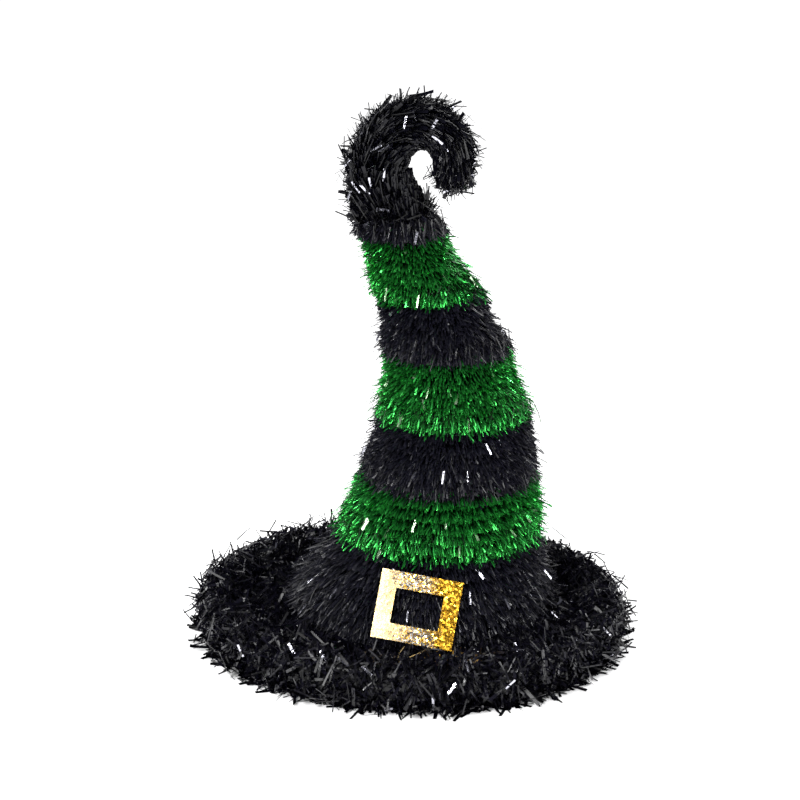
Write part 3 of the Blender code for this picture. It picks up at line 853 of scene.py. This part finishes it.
def tip_tinsel(node, wire, seed, count, material):
    """The curled tip: strips stand out at its rim, and run along the wire on its broad sides."""
    rng = np.random.default_rng(seed)
    surface = Surface(node)
    line = wire_middle(wire)
    pile = Pile()
    points, faces = surface.shrunk(TIP_INSET, TIP_ROUGHNESS, rng)
    pile.add_body(points, faces, rng)

    spans = np.linalg.norm(surface.middles[:, None] - line[None], axis=2).min(axis=1)
    points, normals = surface.sample(spans > TIP_WIRE_CLEAR, count, rng)
    inner = points - TIP_WIRE_SEARCH * normals
    near = np.linalg.norm(inner[:, None] - line[None], axis=2).argmin(axis=1)
    near = np.clip(near, 1, len(line) - 2)
    forward = unit(line[near + 1] - line[near - 1])
    inside = eye_side(points, normals, line)
    broadside = ramp(np.abs(normals[:, 1]), *BROADSIDE) * (1 - inside)

    lean, lying = leans(rng, count, TIP_FLAT_SHARE, TIP_STEEP, TIP_FLAT)
    lean = lean * (1 - inside) * (1 - BROADSIDE_LEAN * broadside)
    lean = lean + between(rng, count, *EYE_LEAN) * inside
    flat_lift = between(rng, count, *TIP_FLAT_LIFT)
    lift = np.where(lying, flat_lift, about(rng, count, *TIP_LIFT))
    stray = ~lying & (rng.random(count) < TIP_STRAYS)
    lift = np.where(stray, between(rng, count, *TIP_STRAY_LIFT), lift)
    lift = lift * (1 - inside) + between(rng, count, *EYE_LIFT) * inside
    sweep = EYE_SWEEP * inside + BROADSIDE_SWEEP * broadside + about(rng, count, *TIP_SWEEP)
    coarse_strips(
        pile,
        points,
        normals,
        rng,
        lean,
        lift * MM,
        TIP_LENGTH,
        TIP_WIDTH,
        sweep=forward * column(sweep),
        glints=np.where(inside > NEAR_EYE, 0, TIP_GLINTS),
        wide=TIP_BROAD_SHARE,
    )
    dress(pile, node, material)


# ---------------------------------------------------------------- buckle and wires


# A handled surface: soft patches with a grain over them.
PATCH_DETAIL, GRAIN_DETAIL = 4.0, 2.0
PATCH_FADE, GRAIN_IN_PATCHES = (0.45, 0.85), 0.25
PATCH_ROUGHNESS, PATCH_HEIGHT = 0.25, 0.5
GRAIN_STRENGTH = 0.5

# Holographic foil. Across the card, -1 is its left edge and 1 its right.
SMALL_FLAKES = 2.3
CLOUD_SCALE, CLOUD_DETAIL, CLOUD_SHIFT = 120.0, 2.0, 0.6
DEEP_FADE = (0.2, 0.8)
COOL_MIDDLE, COOL_FADE, COOL_SHARE, COOL_FLAKES = -0.05, (0.15, 0.5), 0.75, 0.45
LEFT_HIGHLIGHT_FADE, LEFT_HIGHLIGHT_SHARE = (-0.75, -0.25), 0.85
EVEN_FADE, EVEN_TILT = (-0.6, 0.1), 0.2
FLAKE_ROUGHNESS = (0.12, 0.42)


def grain_group():
    """A handled surface: two tones in soft patches, with a fine grain."""
    nodes, given, out = new_group(
        "handled_surface",
        inputs=(
            ("First", "Color", (0.1, 0.1, 0.1)),
            ("Second", "Color", (0.2, 0.2, 0.2)),
            ("Patches", "Float", 60.0),
            ("Grain", "Float", 900.0),
            ("Roughness", "Float", 0.4),
        ),
        outputs=(("Color", "Color"), ("Roughness", "Float"), ("Height", "Float")),
    )
    place = nodes.add("ShaderNodeTexCoord").outputs["Object"]
    patches = nodes.noise(place, given["Patches"], PATCH_DETAIL)
    grain = nodes.noise(place, given["Grain"], GRAIN_DETAIL)
    grained = nodes.maths("ADD", patches, nodes.maths("MULTIPLY", grain, GRAIN_IN_PATCHES))
    share = nodes.spread(grained, *PATCH_FADE, 0.0, 1.0)
    rougher = nodes.maths("MULTIPLY", share, PATCH_ROUGHNESS)
    height = nodes.maths("ADD", nodes.maths("MULTIPLY", patches, PATCH_HEIGHT), grain)
    nodes.put(out["Color"], nodes.mix(share, given["First"], given["Second"]))
    nodes.put(out["Roughness"], nodes.maths("ADD", given["Roughness"], rougher, clamp=True))
    nodes.put(out["Height"], height)
    return nodes.tree


def grained_material(name, group, values, depth, **constants):
    made, nodes, shader = new_material(name, **constants)
    grain = use_group(nodes, group, values)
    nodes.put(shader["Base Color"], grain["Color"])
    nodes.put(shader["Roughness"], grain["Roughness"])
    add_bump(nodes, shader, grain["Height"], GRAIN_STRENGTH, depth)
    return made


def flake_group():
    """Holographic foil: flakes a millimetre across, each tilted its own way, gold and cool, with a painted
    highlight on its left side.
    """
    nodes, given, out = new_group(
        "foil_flakes",
        inputs=(
            ("Gold", "Color", (0.78, 0.44, 0.04)),
            ("Deep", "Color", (0.42, 0.2, 0.012)),
            ("Cool", "Color", (0.3, 0.42, 0.52)),
            ("Painted Highlight", "Color", (0.92, 0.72, 0.36)),
            ("Flakes", "Float", 900.0),
            ("Tilt", "Float", 0.28),
            ("Middle", "Float", 0.0),
            ("Half", "Float", 0.025),
        ),
        outputs=(("Color", "Color"), ("Roughness", "Float"), ("Normal", "Vector")),
    )
    place = nodes.add("ShaderNodeTexCoord").outputs["Object"]
    finer = nodes.maths("MULTIPLY", given["Flakes"], SMALL_FLAKES)
    flakes = nodes.add("ShaderNodeTexVoronoi", {"Vector": place, "Scale": given["Flakes"]})
    small = nodes.add("ShaderNodeTexVoronoi", {"Vector": place, "Scale": finer})
    large_parts = nodes.add("ShaderNodeSeparateColor", {"Color": flakes.outputs["Color"]}).outputs
    small_parts = nodes.add("ShaderNodeSeparateColor", {"Color": small.outputs["Color"]}).outputs

    x = nodes.add("ShaderNodeSeparateXYZ", {"Vector": place}).outputs[0]
    across = nodes.maths("DIVIDE", nodes.maths("SUBTRACT", x, given["Middle"]), given["Half"])
    cloud = nodes.maths("SUBTRACT", nodes.noise(place, CLOUD_SCALE, CLOUD_DETAIL), 0.5)
    across = nodes.maths("ADD", across, nodes.maths("MULTIPLY", cloud, CLOUD_SHIFT))

    deep = nodes.spread(large_parts[0], *DEEP_FADE, 0.0, 1.0)
    colour = nodes.mix(deep, given["Gold"], given["Deep"])
    from_middle = nodes.maths("ABSOLUTE", nodes.maths("SUBTRACT", across, COOL_MIDDLE))
    cool = nodes.spread(from_middle, *COOL_FADE, COOL_SHARE, 0.0)
    cool = nodes.maths("MULTIPLY", cool, nodes.maths("GREATER_THAN", small_parts[1], COOL_FLAKES))
    colour = nodes.mix(cool, colour, given["Cool"])
    # Painted highlight: the card's left side is mixed towards pale gold.
    pale = nodes.spread(across, *LEFT_HIGHLIGHT_FADE, LEFT_HIGHLIGHT_SHARE, 0.0)
    nodes.put(out["Color"], nodes.mix(pale, colour, given["Painted Highlight"]))
    nodes.put(out["Roughness"], nodes.spread(small_parts[2], 0.0, 1.0, *FLAKE_ROUGHNESS))

    centred = nodes.add(
        "ShaderNodeVectorMath",
        {0: flakes.outputs["Color"], 1: (0.5, 0.5, 0.5)},
        operation="SUBTRACT",
    )
    tilt = nodes.maths("MULTIPLY", given["Tilt"], nodes.spread(across, *EVEN_FADE, EVEN_TILT, 1.0))
    tilted = nodes.add(
        "ShaderNodeVectorMath", {0: centred.outputs[0], "Scale": tilt}, operation="SCALE"
    )
    face = nodes.add("ShaderNodeNewGeometry").outputs["Normal"]
    summed = nodes.add("ShaderNodeVectorMath", {0: face, 1: tilted.outputs[0]}, operation="ADD")
    normal = nodes.add("ShaderNodeVectorMath", {0: summed.outputs[0]}, operation="NORMALIZE")
    nodes.put(out["Normal"], normal.outputs[0])
    return nodes.tree


def foil_material():
    made, nodes, shader = new_material("holographic_gold_foil", Metallic=1.0, Coat_Weight=0.3)
    low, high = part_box("buckle_card")
    values = {"Middle": (low.x + high.x) / 2, "Half": (high.x - low.x) / 2}
    foil = use_group(nodes, flake_group(), values)
    for label in ("Color", "Roughness", "Normal"):
        nodes.put(shader["Base Color" if label == "Color" else label], foil[label])
    return made


def finish_wires(grain):
    """The frame's lacquered wire, the garlands' bright cores and the glue."""
    lacquer = grained_material(
        "black_lacquered_wire",
        grain,
        {
            "First": (0.012, 0.012, 0.014),
            "Second": (0.06, 0.05, 0.045),
            "Patches": 90.0,
            "Roughness": 0.3,
        },
        depth=0.08 * MM,
        Metallic=0.4,
    )
    zinc = grained_material(
        "zinc_core_wire",
        grain,
        {
            "First": (0.32, 0.32, 0.34),
            "Second": (0.16, 0.16, 0.17),
            "Patches": 150.0,
            "Roughness": 0.28,
        },
        depth=0.05 * MM,
        Metallic=1.0,
    )
    glue = grained_material(
        "hot_melt_glue",
        grain,
        {
            "First": (0.75, 0.7, 0.58),
            "Second": (0.55, 0.5, 0.4),
            "Patches": 200.0,
            "Roughness": 0.25,
        },
        depth=0.1 * MM,
    )
    for name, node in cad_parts.items():
        if name.endswith("_core"):
            assign(node, zinc)
        elif name.startswith("glue_dab"):
            assign(node, glue)
        elif not name.endswith("_garland") and name != "buckle_card":
            assign(node, lacquer)


def assign(node, material):
    node.data.materials.clear()
    node.data.materials.append(material)


# ---------------------------------------------------------------- studio


# Lamps: name, place, size and power in watts. They aim at the middle of the crown.
AIM = (0, 0, 0.13)
SOFTBOXES = (
    ("key_softbox", (-0.7, -0.9, 1.1), (0.7, 0.7), 16),
    ("right_softbox", (1.1, -0.15, 0.6), (0.5, 0.9), 9),
    ("left_softbox", (-1.1, 0.2, 0.5), (0.5, 0.9), 7),
    ("back_softbox", (0.2, 1.2, 1.0), (1.0, 0.5), 8),
)
SPARKS = (
    ("spark_left", (-0.35, -1.3, 0.95), (0.07, 0.07), 5),
    ("spark_right", (0.6, -1.1, 0.9), (0.07, 0.07), 3),
)

# The lamp that the buckle mirrors: its place along the card, distance, size and power.
GLINT_PLACE, GLINT_DISTANCE, GLINT_SIZE, GLINT_POWER = 1.1, 1.3, (0.08, 0.24), 0.7

# The room is white to the eye and dim in reflections, so that black film stays black.
ROOM_LIGHT = (1.12, 1.12, 1.12)
ROOM_GLOSS = (0.09, 0.09, 0.1)

FLOOR_SIZE, FLOOR_MOTTLE = 14, 3.0
FLOOR_COLOURS = (0.93, 0.93, 0.935), (0.95, 0.95, 0.95)
FURTHEST_SEEN = 50


def add_camera():
    lens = bpy.data.cameras.new("studio_camera")
    lens.lens = VIEW_LENS
    lens.clip_end = FURTHEST_SEEN
    camera = bpy.data.objects.new("studio_camera", lens)
    away = Vector((0, -math.cos(VIEW_TILT), math.sin(VIEW_TILT))) * VIEW_DISTANCE
    camera.location = VIEW_TARGET + away
    camera.rotation_euler = (-away).to_track_quat("-Z", "Y").to_euler()
    bpy.context.scene.collection.objects.link(camera)
    bpy.context.scene.camera = camera


def add_light(name, place, size, power, target=AIM):
    lamp = bpy.data.lights.new(name, "AREA")
    lamp.shape = "RECTANGLE"
    lamp.size, lamp.size_y = size
    lamp.energy = power
    made = bpy.data.objects.new(name, lamp)
    made.location = place
    aim = Vector(target) - Vector(place)
    made.rotation_euler = aim.to_track_quat("-Z", "Y").to_euler()
    bpy.context.scene.collection.objects.link(made)


def add_glint_light():
    """A small lamp where the buckle's left bar mirrors it to the camera."""
    bar = CARD.middle - CARD.width * (CARD.half[0] * GLINT_PLACE)
    seen_from = unit(np.array(bpy.context.scene.camera.location) - bar)
    mirrored = 2 * (CARD.out @ seen_from) * CARD.out - seen_from
    place = bar + GLINT_DISTANCE * mirrored
    add_light("buckle_glint", place, GLINT_SIZE, GLINT_POWER, target=bar)


def add_floor():
    bpy.ops.mesh.primitive_plane_add(size=FLOOR_SIZE)
    floor = bpy.context.object
    floor.name = "studio_floor"
    made, nodes, shader = new_material("pale_floor", Roughness=1.0, Specular_IOR_Level=0.0)
    place = nodes.add("ShaderNodeTexCoord").outputs["Object"]
    mottle = nodes.add("ShaderNodeTexNoise", {"Vector": place, "Scale": FLOOR_MOTTLE}).outputs[0]
    nodes.put(shader["Base Color"], nodes.mix(mottle, *FLOOR_COLOURS))
    floor.data.materials.append(made)


def add_room():
    world = bpy.data.worlds.new("white_room")
    bpy.context.scene.world = world
    world.use_nodes = True
    nodes = Nodes(world.node_tree)
    back = world.node_tree.nodes["Background"]
    rays = nodes.add("ShaderNodeLightPath").outputs
    nodes.put(back.inputs["Color"], nodes.mix(rays["Is Glossy Ray"], ROOM_LIGHT, ROOM_GLOSS))
    back.inputs["Strength"].default_value = 1.0


def add_studio():
    """A pale floor in a white room, with a soft key, side fills and two small hard lamps."""
    add_floor()
    add_room()
    for name, place, size, power in SOFTBOXES:
        add_light(name, place, size, power)
    add_glint_light()
    for name, place, size, power in SPARKS:
        add_light(name, place, size, power)
    bpy.context.scene.view_settings.view_transform = "Standard"


# ---------------------------------------------------------------- the hat


# Each film's tints, its painted tip highlight, how dark its painted root shade is and how far up, and its
# gloss.
FINE_BLACK = {
    "Dark": (0.001, 0.0013, 0.0035),
    "Light": (0.005, 0.0057, 0.0125),
    "Tip": (0.013, 0.0115, 0.0165),
    "Root Painted Shade": 0.2,
    "Root End": 0.3,
    "Root Fade": 0.9,
    "Tip Highlight Share": 0.35,
    "Roughness": 0.3,
    "Roughness Spread": 0.25,
}
COARSE_BLACK = {
    "Dark": (0.0006, 0.0006, 0.0017),
    "Light": (0.0036, 0.0034, 0.0075),
    "Tip": (0.008, 0.0072, 0.013),
    "Root Painted Shade": 0.2,
    "Root End": 0.2,
    "Root Fade": 0.75,
    "Tip Highlight Share": 0.25,
    "Roughness": 0.24,
    "Roughness Spread": 0.3,
}
# The tip's film is a darker copy of the coarse black film: painted shade.
CURLED_BLACK = {
    "Dark": (0.0003, 0.0003, 0.0009),
    "Light": (0.0014, 0.0014, 0.0036),
    "Tip": (0.0055, 0.0052, 0.0095),
    "Root Painted Shade": 0.1,
    "Root End": 0.3,
    "Root Fade": 0.9,
    "Tip Highlight Share": 0.25,
    "Roughness": 0.22,
    "Roughness Spread": 0.3,
}
FINE_GREEN = {
    "Dark": (0.002, 0.1, 0.02),
    "Light": (0.02, 0.5, 0.075),
    "Tip": (0.1, 0.72, 0.12),
    "Glint Tint": (0.6, 0.85, 0.55),
    "Root Painted Shade": 0.03,
    "Root End": 0.4,
    "Root Fade": 0.93,
    "Tip Highlight Share": 0.35,
    "Roughness": 0.22,
    "Roughness Spread": 0.2,
}

# The crown's bands from the lowest: each one's seed, number of strips, and how its rows differ.
BANDS = (
    ("black_base", 11, 15000, {"length": 14 * MM, "loose": 0.5}),
    ("green_low", 12, 12000, {"loose": 0.35}),
    ("black_low", 13, 10500, {"rise": 5 * MM}),
    ("green_mid", 14, 9500, {"clear": 6 * MM, "rise": 5 * MM}),
    ("black_mid", 15, 8000, {"length": 12 * MM, "clear": 6.5 * MM, "rise": 5 * MM}),
    ("green_top", 16, 7000, {"length": 11 * MM, "clear": 5.5 * MM, "rise": 5 * MM}),
    ("black_neck", 17, 3200, {"length": 11 * MM, "clear": 6 * MM, "puff": 0.6}),
)


def make_hat():
    film = cut_film_group()
    black = film_material("fine_black_film", film, FINE_BLACK, Specular_IOR_Level=0.38)
    coarse = film_material("coarse_black_film", film, COARSE_BLACK, Specular_IOR_Level=0.3)
    curled = film_material("curled_tip_film", film, CURLED_BLACK, Specular_IOR_Level=0.22)
    green = film_material("fine_green_film", film, FINE_GREEN, Metallic=0.85)
    fine = {"black": black, "green": green}
    for band, seed, count, settings in BANDS:
        colour = band.split("_")[0]
        band_tinsel(f"{band}_garland", seed, count, fine[colour], settings)
    brim_tinsel("brim_outer_garland", 21, 14000, coarse)
    brim_tinsel("brim_inner_garland", 22, 9500, coarse)
    tip_tinsel("tip_garland", "tip_wire", 31, 11000, curled)
    assign(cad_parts["buckle_card"], foil_material())
    finish_wires(grain_group())


add_camera()
make_hat()
add_studio()
